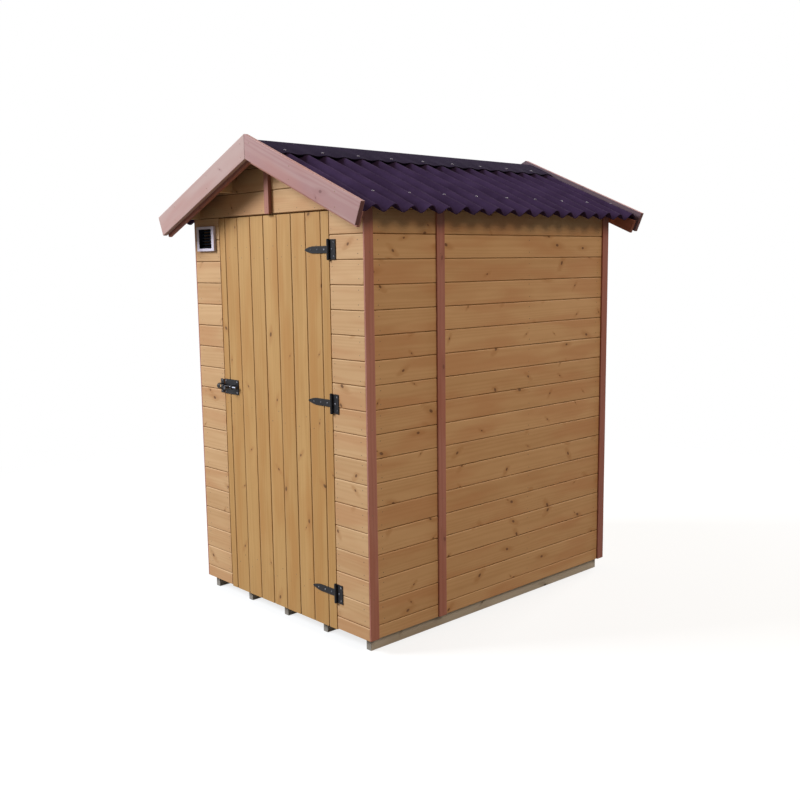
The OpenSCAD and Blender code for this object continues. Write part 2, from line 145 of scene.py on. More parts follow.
# Planed softwood: rings round a heart behind each board, bent round its knots, under a thin stain.
# The eye gets soft bands along the board, small dark knots with a slanting amber flame, ruddy and tan patches
# where the stain took unevenly, dark V-joints, and one board unlike the next.
woodRule = dict(
    wander=((1.1, 7, 7), 2.0), fibre=((16, 700, 700), 3.0),  # noise: swings in a metre of length, width and depth
    blotch=((4, 17, 17), 2.0), flush=((2.3, 11, 23), 2.0),
    scatter=0.9, slant=1.1, core=((0.7, 1.1, 1), 1.2, 0.55), halo=((0.42, 1.3, 1), 4.2, 0.8), push=-0.8,  # knots
    groove=(1.2, 2.6), shallow=(8, 5), paintedHighlight=4, bump=0.5,  # in mm
    late=(-0.5, 1.0), ruddy=(0.42, 0.68), dirt=(0.3, 0.65, 0.5, 1.0), ridges=0.6, ior=1.48)


def stainedWood(name, look):
    material, tree = blankMaterial(name)
    layers = {label: put(tree, "Attribute", attribute_name=label) for label in (
        "grain", "boardShift", "boardTone", "valley", "endGrainAndShade", "sawn")}
    grain, valley = layers["grain"]["Vector"], layers["valley"]["Fac"]
    place = put(tree, "VectorMath", (grain, layers["boardShift"]["Vector"]), operation="ADD")[0]
    noises = {}
    for part in ("wander", "fibre", "blotch", "flush"):
        stretch, detail = woodRule[part]
        drawn = put(tree, "VectorMath", (place, stretch), **times)[0]
        noises[part] = put(tree, "TexNoise", {"Vector": drawn, "Scale": 1.0, "Detail": detail})["Fac"]
    # knots, one to a cell of the board at most, each with a slant of its own
    run, row = look["knotRun"] * mm, look["knotRow"] * mm
    cell = put(tree, "VectorMath", (place, (1 / run, 1 / row, 0)), **times)[0]
    spots = put(tree, "TexVoronoi", {"Vector": cell, "Scale": 1.0, "Randomness": woodRule["scatter"]},
                voronoi_dimensions="2D")
    away = put(tree, "VectorMath", (cell, spots["Position"]), operation="SUBTRACT")[0]
    reach = put(tree, "VectorMath", (away, (run, row, 0)), **times)[0]
    chance = put(tree, "SeparateColor", (spots["Color"],))
    slant = put(tree, "MapRange", (chance[2], 0, 1, -woodRule["slant"], woodRule["slant"]))[0]
    turned = put(tree, "VectorRotate", {"Vector": reach, "Angle": slant}, rotation_type="Z_AXIS")[0]
    present = put(tree, "Math", (chance[0], 1 - look["knotShare"]), operation="GREATER_THAN")[0]
    least, most = (size * mm / 2 for size in look["knotSize"])
    radius = put(tree, "MapRange", (chance[1], 0, 1, least, most))[0]
    rings = {}
    for part in ("core", "halo"):
        squeeze, outer, inner = woodRule[part]
        oval = put(tree, "VectorMath", (turned, squeeze), **times)[0]
        distance = put(tree, "VectorMath", (oval,), operation="LENGTH")["Value"]
        ratio = put(tree, "Math", (distance, radius), operation="DIVIDE")[0]
        near = put(tree, "MapRange", (ratio, outer, inner), **smooth)[0]
        rings[part] = put(tree, "Math", (near, present), **times)[0]
    # growth rings, pushed aside by the knots
    parts = put(tree, "SeparateXYZ", (place,))
    aside = put(tree, "SeparateXYZ", (reach,))[1]
    push = put(tree, "Math", (rings["halo"], woodRule["push"]), **times)[0]
    across = put(tree, "Math", (aside, push, parts[1]), **timesPlus)[0]
    section = put(tree, "CombineXYZ", (0, across, parts[2]))[0]
    heart = put(tree, "VectorMath", (section,), operation="LENGTH")["Value"]
    turns = put(tree, "Math", (heart, math.tau / (look["ringGap"] * mm)), **times)[0]
    bent = put(tree, "Math", (noises["wander"], look["ringWander"] * math.tau, turns), **timesPlus)[0]
    wave = put(tree, "Math", (bent,), operation="SINE")[0]
    late = put(tree, "MapRange", (wave, *woodRule["late"]), **smooth)[0]
    # stain over rings, fibres and blotches, darker on one board than on the next
    depth = look["darkness"]
    for source, share in ((late, "ringDepth"), (noises["fibre"], "fibreDepth"), (noises["blotch"], "blotchDepth"),
                          (layers["boardTone"]["Fac"], "toneAndShadeDepth")):
        depth = put(tree, "Math", (source, look[share], depth), **timesPlus)[0]
    colour = put(tree, "Mix", {0: depth, 6: linear(look["pale"]), 7: linear(look["dark"])}, data_type="RGBA")[2]
    ruddy = put(tree, "MapRange", (noises["flush"], *woodRule["ruddy"], 0, look["ruddyDepth"]), **smooth)[0]
    groove = put(tree, "MapRange", (valley, *(deep * mm for deep in woodRule["groove"])), **smooth)[0]
    shallow = put(tree, "MapRange", (valley, *(deep * mm for deep in woodRule["shallow"])))[0]
    dirt = put(tree, "MapRange", (noises["blotch"], *woodRule["dirt"]))[0]
    joint = put(tree, "Math", (groove, shallow), **times)[0]
    joint = put(tree, "Math", (joint, dirt), **times)[0]
    joint = put(tree, "Math", (joint, layers["sawn"]["Fac"]), operation="SUBTRACT", use_clamp=True)[0]
    # Painted highlight: a paler band along the upper edge of each board, as if lit from above
    width, top = put(tree, "SeparateXYZ", (grain,))[1], look["paintedHighlightAt"] * mm
    paintedHighlight = put(tree, "MapRange", (width, top - woodRule["paintedHighlight"] * mm, top), **smooth)[0]
    # End faces are darkened, partly as end grain that takes more stain and partly as painted shade
    for source, share, layer in (
            (ruddy, 1.0, "ruddy"), (paintedHighlight, look["paintedHighlightDepth"], "paintedHighlight"), (rings["halo"], look["haloDepth"], "halo"),
            (rings["core"], look["knotDepth"], "knot"), (joint, look["jointDepth"], "joint"),
            (layers["endGrainAndShade"]["Fac"], look["endGrainAndShadeDepth"], "knot")):
        amount = put(tree, "Math", (source, share), **times)[0]
        colour = put(tree, "Mix", {0: amount, 6: colour, 7: linear(look[layer])}, data_type="RGBA")[2]
    rough = put(tree, "MapRange", (noises["fibre"], 0, 1, *look["rough"]))[0]
    ridges = put(tree, "Math", (late, woodRule["ridges"], noises["fibre"]), **timesPlus)[0]
    relief = put(tree, "Bump", {"Height": ridges, "Strength": look["relief"], "Distance": woodRule["bump"] * mm})[0]
    shine = put(tree, "MapRange", (joint, 0, 1, look["shine"], 0))[0]  # dirt makes the joints dull
    surface = put(tree, "BsdfPrincipled", {
        "Base Color": colour, "Roughness": rough, "Normal": relief, "IOR": woodRule["ior"],
        "Specular IOR Level": shine})
    put(tree, "OutputMaterial", (surface[0],))
    return material


# In these looks the pale colour along the top of a board's width is a painted highlight
honeyLook = dict(
    pale="#D4B085", dark="#B1875A", ruddy="#BD8A60", halo="#A87443", knot="#5E3F26", joint="#714414", paintedHighlight="#E8CCA4",
    knotRun=230, knotRow=64, knotShare=0.36, knotSize=(5, 16), ringGap=8, ringWander=3.2, ringDepth=0.15,
    fibreDepth=0.14, blotchDepth=0.5, toneAndShadeDepth=0.16, darkness=-0.06, ruddyDepth=0.55, haloDepth=0.42, knotDepth=0.85,
    jointDepth=0.75, endGrainAndShadeDepth=0.5, paintedHighlightAt=91, paintedHighlightDepth=0.22, rough=(0.5, 0.68), relief=0.2, shine=0.25)
doorLook = dict(
    honeyLook, pale="#C8A16A", dark="#A67940", ruddy="#B58249", knotShare=0.22, knotRun=280, paintedHighlightDepth=0.25)
bareLook = dict(
    honeyLook, pale="#E0C59C", dark="#C8A06A", ruddy="#CFA877", halo="#B98A55", knotShare=0.3, rough=(0.6, 0.75),
    relief=0.35)
trimLook = dict(
    honeyLook, pale="#B88377", dark="#935F55", ruddy="#9F624F", halo="#80523F", knot="#5A362B", knotShare=0.2,
    ringDepth=0.2, haloDepth=0.3, knotDepth=0.5)
bargeLook = dict(
    honeyLook, pale="#BEA5A2", dark="#9A696E", ruddy="#AE7A73", halo="#94696A", knot="#5E3A38", knotShare=0.2,
    ringDepth=0.16, toneAndShadeDepth=0.36, blotchDepth=0.4, haloDepth=0.3, knotDepth=0.6, ruddyDepth=0.45, endGrainAndShadeDepth=1.0)
# A darker copy of the bargeboard stain for the faces toward the house: painted shade
paintedShadeBargeLook = dict(bargeLook, pale="#6E5B66", dark="#564550", ruddy="#614A54", halo="#523F48", knot="#3E2C30")
treatedLook = dict(
    honeyLook, pale="#D2D0CB", dark="#B0AEA8", ruddy="#A39684", halo="#7E7565", knot="#554D42", knotShare=0.25,
    rough=(0.7, 0.85), relief=0.5)
honeyPine = stainedWood("honeyStainedPine", honeyLook)
doorPine = stainedWood("doorStainedPine", doorLook)
barePine = stainedWood("barePlanedPine", bareLook)
redBrownPine = stainedWood("redBrownStainedPine", trimLook)
pinkBrownPine = stainedWood("pinkBrownStainedPine", bargeLook)
paintedShadeBargePine = stainedWood("paintedShadeInnerPine", paintedShadeBargeLook)
treatedPine = stainedWood("treatedGreyPine", treatedLook)


# Corrugated bitumen sheet: pressed fibre soaked in bitumen, with a matt coloured coat.
# The eye gets a dull dark skin with a fine felt relief, and paler dusty patches on it.
def bitumenSheet(name, look):
    material, tree = blankMaterial(name)
    where = put(tree, "TexCoord")["Object"]
    felt = put(tree, "TexNoise", {"Vector": where, "Scale": 1 / (look["felt"] * mm), "Detail": 3.0})["Fac"]
    dust = put(tree, "TexNoise", {"Vector": where, "Scale": 1 / (look["patch"] * mm), "Detail": 4.0})["Fac"]
    cover = put(tree, "MapRange", (dust, *look["cover"]))[0]
    grit = put(tree, "Math", (felt, look["grit"], cover), **timesPlus)[0]
    colour = put(tree, "Mix", {0: grit, 6: linear(look["dark"]), 7: linear(look["pale"])}, data_type="RGBA")[2]
    rough = put(tree, "MapRange", (felt, 0, 1, *look["rough"]))[0]
    relief = put(tree, "Bump", {"Height": felt, "Strength": look["relief"], "Distance": look["bump"] * mm})[0]
    surface = put(tree, "BsdfPrincipled", {
        "Base Color": colour, "Roughness": rough, "Normal": relief, "IOR": look["ior"],
        "Specular IOR Level": look["shine"]})
    put(tree, "OutputMaterial", (surface[0],))
    return material


sheetLook = dict(dark="#2C2039", pale="#413354", felt=2.5, patch=120, cover=(0.35, 0.75, 0, 0.7), grit=0.5,
                 rough=(0.8, 0.95), relief=0.5, bump=0.6, ior=1.5, shine=0.03)
capLook = dict(sheetLook, dark="#1D172A", pale="#2D253C", patch=90)
sheetBitumen = bitumenSheet("aubergineBitumenSheet", sheetLook)
capBitumen = bitumenSheet("darkBitumenRidge", capLook)


# Coated or plated metal and moulded plastic: one colour that dirt and handling make uneven.
# The eye gets a soft gloss that breaks up, and slightly paler worn places.
def finish(name, look):
    material, tree = blankMaterial(name)
    where = put(tree, "TexCoord")["Object"]
    wear = put(tree, "TexNoise", {"Vector": where, "Scale": 1 / (look["patch"] * mm), "Detail": 4.0})["Fac"]
    skin = put(tree, "TexNoise", {"Vector": where, "Scale": 1 / (look["skin"] * mm), "Detail": 2.0})["Fac"]
    worn = put(tree, "MapRange", (wear, *look["wornFrom"]))[0]
    colour = put(tree, "Mix", {0: worn, 6: linear(look["colour"]), 7: linear(look["worn"])}, data_type="RGBA")[2]
    rough = put(tree, "MapRange", (wear, 0, 1, *look["rough"]))[0]
    relief = put(tree, "Bump", {"Height": skin, "Strength": look["relief"], "Distance": look["bump"] * mm})[0]
    surface = put(tree, "BsdfPrincipled", {
        "Base Color": colour, "Roughness": rough, "Normal": relief, "Metallic": look["metallic"],
        "Specular IOR Level": look["shine"]})
    put(tree, "OutputMaterial", (surface[0],))
    return material


ironLook = dict(colour="#0D0D13", worn="#19191F", patch=25, skin=1.2, rough=(0.35, 0.55), relief=0.3, bump=0.2,
                wornFrom=(0.4, 0.75), metallic=0.0, shine=0.22)
zincLook = dict(ironLook, colour="#34363E", worn="#6A6D76", patch=14, skin=0.8, rough=(0.25, 0.4), relief=0.15,
                metallic=1.0, shine=0.5)
ventLook = dict(ironLook, colour="#DAD6EA", worn="#C9C4DA", patch=40, skin=1.5, rough=(0.35, 0.5), relief=0.1,
                shine=0.4)
louvreLook = dict(ventLook, colour="#0C0E16", worn="#141722", patch=30, rough=(0.5, 0.65), shine=0.12)
nailLook = dict(ironLook, colour="#7C6850", worn="#98846A", patch=6, skin=0.8, rough=(0.45, 0.6), relief=0.2,
                metallic=0.3, shine=0.3)
# Roof nail caps: the sheet's purple made paler, which paints part of their highlight; their gloss is real
paintedHighlightCapNailLook = dict(ironLook, colour="#4E4559", worn="#726A7C", patch=8, skin=1.0, rough=(0.35, 0.5), relief=0.2,
                   shine=0.5)
screwLook = dict(nailLook, colour="#3A3A42", worn="#9A9CA4", patch=5, skin=0.6, rough=(0.3, 0.45), metallic=0.8,
                 shine=0.5)
blackIron = finish("blackPowderCoat", ironLook)
zincSteel = finish("zincPlatedSteel", zincLook)
ventPlastic = finish("paleVentPlastic", ventLook)
louvrePlastic = finish("darkVentPlastic", louvreLook)
nailSteel = finish("dullNailSteel", nailLook)
paintedHighlightCapNailPlastic = finish("roofNailCapPaintedHighlight", paintedHighlightCapNailLook)
screwSteel = finish("blackScrewSteel", screwLook)
print("outhouse: materials made")


# Boards: a tongue-and-groove profile with a V at each joint, repeated by one tree
boardShape = dict(width=95, thick=16, chamfer=3.4, gap=0.6, tongue=6, tongueThick=5, tongueAt=0.55, slack=0.3,
                  room=0.7, play=0.35, sidePlay=0.3, heartFrom=(0, -0.09, 0.03), heartTo=(40, 0.0, 0.08), toneSeed=7.0)
boardPitch = boardShape["width"] * mm


def boardTemplate(shape):  # one metre of board: x along, y across, z outwards from the face
    w, t, c, g, s = shape["width"], shape["thick"], shape["chamfer"], shape["gap"], shape["slack"]
    mid, half, reach = t * shape["tongueAt"], shape["tongueThick"] / 2, shape["tongue"]
    deep = g + reach + shape["room"]  # the groove is deeper than the tongue is long
    profile = [
        (c, 0), (w - c, 0), (w - g, -c + g), (w - g, -mid + half), (w - g + reach, -mid + half),
        (w - g + reach, -mid - half), (w - g, -mid - half), (w - g, -t), (g, -t), (g, -mid - half - s),
        (deep, -mid - half - s), (deep, -mid + half + s), (g, -mid + half + s), (g, -c + g)]
    bm = bmesh.new()
    ends = [[bm.verts.new((x, y * mm, z * mm)) for y, z in profile] for x in (0, 1)]
    for i in range(len(profile)):
        j = (i + 1) % len(profile)
        bm.faces.new((ends[0][i], ends[0][j], ends[1][j], ends[1][i]))
    bm.faces.new(ends[0])
    bm.faces.new(ends[1][::-1])
    bmesh.ops.recalc_face_normals(bm, faces=bm.faces)
    return placed("boardTemplate", meshed(bm, "boardTemplate"))


def boardTree():
    tree, given = newTree("boardRun", {
        "Board": "Object", "Boards": "Int", "Pitch": "Float", "Length": "Float", "Play": "Float",
        "Seed": "Int", "Finish": "Material"})
    board = put(tree, "GeometryNodeObjectInfo", {"Object": given["Board"]})["Geometry"]  # shaders have a namesake
    stretch = put(tree, "CombineXYZ", (given["Length"], 1.0, 1.0))[0]
    sized = put(tree, "Transform", {"Geometry": board, "Scale": stretch})[0]
    spot = put(tree, "InputPosition")[0]
    outward = put(tree, "SeparateXYZ", (spot,))[2]
    inward = put(tree, "Math", (outward, -1.0), **times)[0]
    for label, value, kind in (("grain", spot, "FLOAT_VECTOR"), ("valley", inward, "FLOAT")):
        sized = put(tree, "StoreNamedAttribute", {"Geometry": sized, "Name": label, "Value": value},
                    data_type=kind, domain="POINT")[0]
    step = put(tree, "CombineXYZ", (0, given["Pitch"]))[0]
    rows = put(tree, "MeshLine", {"Count": given["Boards"], "Offset": step}, mode="OFFSET")[0]
    aside = boardShape["sidePlay"]
    vector = dict(data_type="FLOAT_VECTOR")
    stray = put(tree, "RandomValue", {0: (0, -aside, -1), 1: (0, aside, 1), "Seed": given["Seed"]}, **vector)[0]
    strayed = put(tree, "VectorMath", {0: stray, "Scale": given["Play"]}, operation="SCALE")[0]
    uneven = put(tree, "SetPosition", {"Geometry": rows, "Offset": strayed})[0]
    laid = put(tree, "InstanceOnPoints", {"Points": uneven, "Instance": sized})[0]
    ends = boardShape["heartFrom"], boardShape["heartTo"]
    heart = put(tree, "RandomValue", {0: ends[0], 1: ends[1], "Seed": given["Seed"]}, **vector)[0]
    nextSeed = put(tree, "Math", (given["Seed"], boardShape["toneSeed"]), operation="ADD")[0]
    darker = put(tree, "RandomValue", {2: -1.0, 3: 1.0, "Seed": nextSeed}, data_type="FLOAT")[1]
    for label, value, kind in (("boardShift", heart, "FLOAT_VECTOR"), ("boardTone", darker, "FLOAT")):
        laid = put(tree, "StoreNamedAttribute", {"Geometry": laid, "Name": label, "Value": value},
                   data_type=kind, domain="INSTANCE")[0]
    return endTree(tree, laid, given["Finish"])


template = boardTemplate(boardShape)
runTree = boardTree()


def boardRun(origin, along, across, length, count, seed, material):  # boards laid in their place
    mesh = grow(runTree, {
        "Board": template, "Boards": count, "Pitch": boardPitch, "Length": length,
        "Play": boardShape["play"] * mm, "Seed": seed, "Finish": material})
    turn = Matrix((along, across, along.cross(across))).transposed().to_4x4()
    mesh.transform(Matrix.Translation(origin) @ turn)
    bm = bmesh.new()
    bm.from_mesh(mesh)
    return mesh, bm


def keepBehind(bm, point, normal):  # saws off what stands in front of a plane and closes the cut
    sawn = bm.faces.layers.float.get("sawn") or bm.faces.layers.float.new("sawn")
    cut = bmesh.ops.bisect_plane(bm, geom=bm.verts[:] + bm.edges[:] + bm.faces[:], dist=1e-6, plane_co=point,
                                 plane_no=normal, clear_outer=True)
    rim = [e for e in cut["geom_cut"] if isinstance(e, bmesh.types.BMEdge) and e.is_boundary]
    if rim:
        for face in bmesh.ops.edgeloop_fill(bm, edges=rim)["faces"]:
            face[sawn] = 1.0


def islands(bm):  # the loose parts of a mesh, as lists of points
    left, found = set(bm.verts), []
    while left:
        reached, todo = set(), [left.pop()]
        while todo:
            v = todo.pop()
            reached.add(v)
            for e in v.link_edges:
                other = e.other_vert(v)
                if other in left:
                    left.discard(other)
                    todo.append(other)
        found.append(sorted(reached, key=lambda v: v.index))
    return sorted(found, key=lambda part: part[0].index)


def boxOf(points):  # lowest and highest corner
    return [Vector([pick(v.co[i] for v in points) for i in range(3)]) for pick in (min, max)]


def cutAway(bm, low, high):  # takes a box in x and z out of upright boards: sawn round it, each part closed by itself
    chosen = set()
    for part in islands(bm):
        first, last = boxOf(part)
        if first.x < high.x and last.x > low.x and first.z < high.z and last.z > low.z:
            chosen.update(v.index for v in part)
    if not chosen:
        return
    rest, sawn = bm.copy(), bm.copy()
    bmesh.ops.delete(rest, geom=[v for v in rest.verts if v.index in chosen], context="VERTS")
    bmesh.ops.delete(sawn, geom=[v for v in sawn.verts if v.index not in chosen], context="VERTS")
    parts = [rest]
    for planes in ([(low.x, xAxis)], [(high.x, -xAxis)],
                   [(low.x, -xAxis), (high.x, xAxis), (low.z, zAxis)],
                   [(low.x, -xAxis), (high.x, xAxis), (high.z, -zAxis)]):
        part = sawn.copy()
        for value, outside in planes:
            keepBehind(part, Vector((value, 0, value)), outside)
        parts.append(part)
    sawn.free()
    bm.clear()
    for part in parts:
        spare = meshed(part, "spare")
        bm.from_mesh(spare)
        bpy.data.meshes.remove(spare)
    bm.verts.index_update()


def close(mesh, bm):
    bmesh.ops.recalc_face_normals(bm, faces=bm.faces)
    bm.to_mesh(mesh)
    bm.free()
    return mesh


def merged(node):  # a copy of a CAD node with whole faces
    bm = bmesh.new()
    bm.from_mesh(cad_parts[node].data)
    bmesh.ops.remove_doubles(bm, verts=bm.verts, dist=1e-5)
    bmesh.ops.dissolve_limit(bm, angle_limit=math.radians(0.5), verts=bm.verts, edges=bm.edges)
    bm.verts.index_update()
    return bm


def solidBoxes(*nodes):  # lowest and highest corner of each solid of the nodes
    boxes = []
    for node in nodes:
        bm = merged(node)
        boxes += sorted(map(boxOf, islands(bm)), key=lambda box: tuple(round(x, 4) for x in box[0]))
        bm.free()
    return boxes


wallBoards = dict(
    frontPanelLeft=("front_panel_left", xAxis, 11), frontPanelRight=("front_panel_right", xAxis, 12),
    backWall=("back_wall", -xAxis, 13), leftWallFront=("left_wall_front", -yAxis, 14),
    leftWallRear=("left_wall_rear", -yAxis, 15), rightWallFront=("right_wall_front", yAxis, 16),
    rightWallRear=("right_wall_rear", yAxis, 17))
ventHole = (106.2, 0, 90.2)  # width and height in mm
topPlay = 0.2 * mm
outerX, outerY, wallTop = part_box("back_wall")[1]
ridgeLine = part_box("ridge_beam")[1].z
roofPitch = math.radians(23)


def outerFace(low, high, along):  # the corner that a run of boards starts from, on the outer face
    x = low.x if along.x > 0 or along.y < 0 else high.x
    y = low.y if along.x > 0 or along.y > 0 else high.y
    return Vector((x, y, 0))


def middleOf(box):
    return (box[0] + box[1]) / 2


for name, (node, along, seed) in wallBoards.items():
    low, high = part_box(node)
    count = math.ceil((high.z - low.z) / boardPitch)
    start = outerFace(low, high, along)
    start.z = high.z - count * boardPitch
    mesh, bm = boardRun(start, along, zAxis, abs((high - low).dot(along)), count, seed, honeyPine)
    keepBehind(bm, low.z * zAxis, -zAxis)
    keepBehind(bm, (high.z - topPlay) * zAxis, zAxis)
    if node == "front_panel_left":
        middle, reach = middleOf(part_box("vent_frame")), Vector(ventHole) * mm / 2
        cutAway(bm, middle - reach, middle + reach)
    piece(name, close(mesh, bm), "house", "cladding", node)
print("outhouse: walls boarded")

gableBoards = dict(frontGable=("front_gable", xAxis, 21), backGable=("back_gable", -xAxis, 22))
notchRule = dict(eaveFrom=0.5, eaveRoom=0.02, overRoom=1)  # in metres; timbers past the first run out at the eave
for name, (node, along, seed) in gableBoards.items():
    start = outerFace(*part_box(node), along)
    start.x = -outerX if along.x > 0 else outerX
    start.z = wallTop
    count = math.ceil((ridgeLine - wallTop) / boardPitch)
    mesh, bm = boardRun(start, along, zAxis, 2 * outerX, count, seed, honeyPine)
    for side in (-1, 1):
        slope = Vector((side * math.sin(roofPitch), 0, math.cos(roofPitch)))
        keepBehind(bm, ridgeLine * zAxis, slope)
    for low, high in solidBoxes("ridge_beam", "purlins", "eave_plate_left", "eave_plate_right"):
        left = notchRule["eaveRoom"] if low.x < -notchRule["eaveFrom"] else 0
        right = notchRule["eaveRoom"] if high.x > notchRule["eaveFrom"] else 0
        cutAway(bm, low - left * xAxis, high + Vector((right, 0, notchRule["overRoom"])))
    piece(name, close(mesh, bm), "house", "cladding", node)
print("outhouse: gables boarded")

floorRun = dict(seed=31)
floorLow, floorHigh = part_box("floor_boards")
floorCount = math.ceil((floorHigh.y - floorLow.y) / boardPitch)
start = Vector((floorLow.x, floorLow.y, floorHigh.z))
mesh, bm = boardRun(start, xAxis, yAxis, floorHigh.x - floorLow.x, floorCount, floorRun["seed"], barePine)
keepBehind(bm, floorHigh.y * yAxis, yAxis)
piece("floorRun", close(mesh, bm), "house", "bare_timber", "floor_boards")

doorBoards = dict(firstBoard=50.2, seed=41)  # width left of the board at the hinges, in mm
leafLow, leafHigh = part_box("door_leaf")
start = Vector((leafHigh.x - doorBoards["firstBoard"] * mm + boardPitch, leafLow.y, leafLow.z))
doorCount = math.ceil((start.x - leafLow.x) / boardPitch)
mesh, bm = boardRun(start, zAxis, -xAxis, leafHigh.z - leafLow.z, doorCount, doorBoards["seed"], doorPine)
keepBehind(bm, leafHigh.x * xAxis, xAxis)
keepBehind(bm, leafLow.x * xAxis, -xAxis)
piece("doorLeaf", close(mesh, bm), "door", "door_boards", "door_leaf")
bpy.data.objects.remove(template)
print("outhouse: floor and door boarded")


# Sawn timber and hardware: the CAD solids with eased edges, and a grain that runs along each one
easeRule = dict(hardAngle=25, segments=2, profile=0.6, smoothAngle=20, heart=((0, 40), (-0.03, 0.03), (0.03, 0.08)),
                endReach=0.9, mitreReach=0.4, innerReach=0.9, revealReach=0.6)


def eased(node, edge, material, seed, givenToneAndShade, endReach):
    bm = merged(node)
    draw = random.Random(seed)
    grain = bm.verts.layers.float_vector.new("grain")
    shift = bm.verts.layers.float_vector.new("boardShift")
    toneAndShadeLayer = bm.verts.layers.float.new("boardTone")
    axis = bm.verts.layers.float_vector.new("axis")
    endGrainAndShade = bm.faces.layers.float.new("endGrainAndShade")
    for part in islands(bm):
        edges = {e for v in part for e in v.link_edges}
        faces = {f for v in part for f in v.link_faces}
        longest = max(edges, key=lambda e: (round(e.calc_length(), 5), -e.index))
        along = (longest.verts[1].co - longest.verts[0].co).normalized()
        out = max(faces, key=lambda f: (round(f.calc_area(), 7), -f.index)).normal.copy()
        across = out.cross(along)
        centre = sum((v.co for v in part), Vector()) / len(part)
        place = Vector([draw.uniform(*span) for span in easeRule["heart"]])
        # The tone given to some pieces carries painted shade; the other pieces get a random tone
        value = draw.uniform(-1, 1) if givenToneAndShade is None else givenToneAndShade[0] + givenToneAndShade[1] * centre.y
        for v in part:
            away = v.co - centre
            v[grain] = Vector((away.dot(along), away.dot(across), away.dot(out)))
            v[shift], v[toneAndShadeLayer], v[axis] = place, value, along
    bend = math.radians(easeRule["hardAngle"])
    hard = [e for e in bm.edges if len(e.link_faces) == 2 and e.calc_face_angle(0) > bend]
    bmesh.ops.bevel(bm, geom=hard, offset=edge * mm, segments=easeRule["segments"], profile=easeRule["profile"],
                    affect="EDGES", clamp_overlap=True)
    bm.normal_update()
    # End faces are marked for darkening, partly as end grain and partly as painted shade
    for face in bm.faces:
        face[endGrainAndShade] = 1.0 if abs(face.normal.dot(face.verts[0][axis])) > endReach else 0.0
    bm.verts.layers.float_vector.remove(axis)
    mesh = meshed(bm, node)
    mesh.materials.append(material)
    shade(mesh, easeRule["smoothAngle"])
    return mesh


def secondMaterial(mesh, material, chosen):  # for the faces that are chosen
    mesh.materials.append(material)
    for face in mesh.polygons:
        if chosen(face):
            face.material_index = 1


timberEdges = (  # slot, material, body, edge in mm, and each piece with its node
    ("bearer_timber", treatedPine, "house", 2, dict(bearerTimbers="bearers")),
    ("bare_timber", barePine, "house", 1.5, dict(
        frontStuds="front_posts", backStuds="back_posts", leftStuds="left_posts", rightStuds="right_posts",
        gableRails="gable_rails", doorStops="door_stops")),
    ("bare_timber", barePine, "house", 1, dict(
        eavePlateLeft="eave_plate_left", eavePlateRight="eave_plate_right", roofPurlins="purlins",
        ridgeBeam="ridge_beam")),
    ("bargeboard", pinkBrownPine, "house", 2.4, dict(
        bargeFrontLeft="bargeboard_front_left", bargeFrontRight="bargeboard_front_right")),
    ("bargeboard", pinkBrownPine, "house", 1.5, dict(
        bargeRearLeft="bargeboard_rear_left", bargeRearRight="bargeboard_rear_right")),
    ("trim", redBrownPine, "house", 1.5, dict(
        bargeBattensLeft="barge_battens_left", bargeBattensRight="barge_battens_right", leftTrims="left_trims",
        rightTrims="right_trims", gableBattenFront="gable_batten_front", gableBattenRear="gable_batten_rear")),
    ("door_boards", doorPine, "door", 1.5, dict(doorLedges="door_ledges", doorBraces="door_braces")))
tonesAndPaintedShade = dict(  # how dark each is, and how much darker a metre further back. The dark rear bargeboards and left battens, and the darkening toward the back, are painted shade; the front bargeboards differ in tone
    bargeFrontLeft=(-0.9, 0), bargeFrontRight=(0.6, 0), bargeRearLeft=(1.4, 0), bargeRearRight=(1.4, 0),
    bargeBattensLeft=(2.5, 0), bargeBattensRight=(0.75, 2.1), leftTrims=(1.7, 3.1), rightTrims=(1.7, 3.1))
hardwareEdges = (
    ("vent_frame", ventPlastic, "house", 1, dict(ventFrame="vent_frame")),
    ("vent_louvres", louvrePlastic, "house", 0.4, dict(ventLouvres="vent_louvres")),
    ("black_iron", blackIron, "house", 0.6, dict(latchKeeper="latch_keeper")),
    ("black_iron", blackIron, "house", 0.5, dict(hingePlates="hinge_plates", hingePins="hinge_pins")),
    ("black_iron", blackIron, "door", 0.5, dict(hingeStraps="hinge_straps")),
    ("black_iron", blackIron, "door", 0.6, dict(latchPlate="latch_plate")),
    ("bolt_steel", zincSteel, "bolt", 0.8, dict(latchBolt="latch_bolt")))
ventMiddle = middleOf(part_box("vent_frame"))


def facesVent(face):  # looks in at the vent's opening
    inward = Vector((ventMiddle.x - face.center.x, 0, ventMiddle.z - face.center.z)).normalized()
    return face.normal.dot(inward) > easeRule["revealReach"]


def dress(groups, seed):  # eases the pieces in their order, each with the next seed
    for slot, material, body, edge, nodes in groups:
        for name, node in nodes.items():
            # The mitre's eased edges count as end faces, which paints a dark shade line along the joint
            mitred = name.startswith("bargeFront")  # the mitre's eased edges show as a dark line
            endReach = easeRule["mitreReach" if mitred else "endReach"]
            mesh = eased(node, edge, material, seed, tonesAndPaintedShade.get(name), endReach)
            if material is pinkBrownPine:  # the faces toward the house take a darker copy of the stain: painted shade
                inward = 1 if "Front" in name else -1
                secondMaterial(mesh, paintedShadeBargePine, lambda face: face.normal.y * inward > easeRule["innerReach"])
            if material is ventPlastic:  # the reveal takes the dark louvre plastic: painted shade inside the opening
                secondMaterial(mesh, louvrePlastic, facesVent)
            piece(name, mesh, body, slot, node)
            seed += 1


dress(timberEdges, 50)
dress(hardwareEdges, 90)
print("outhouse: timbers and hardware eased")


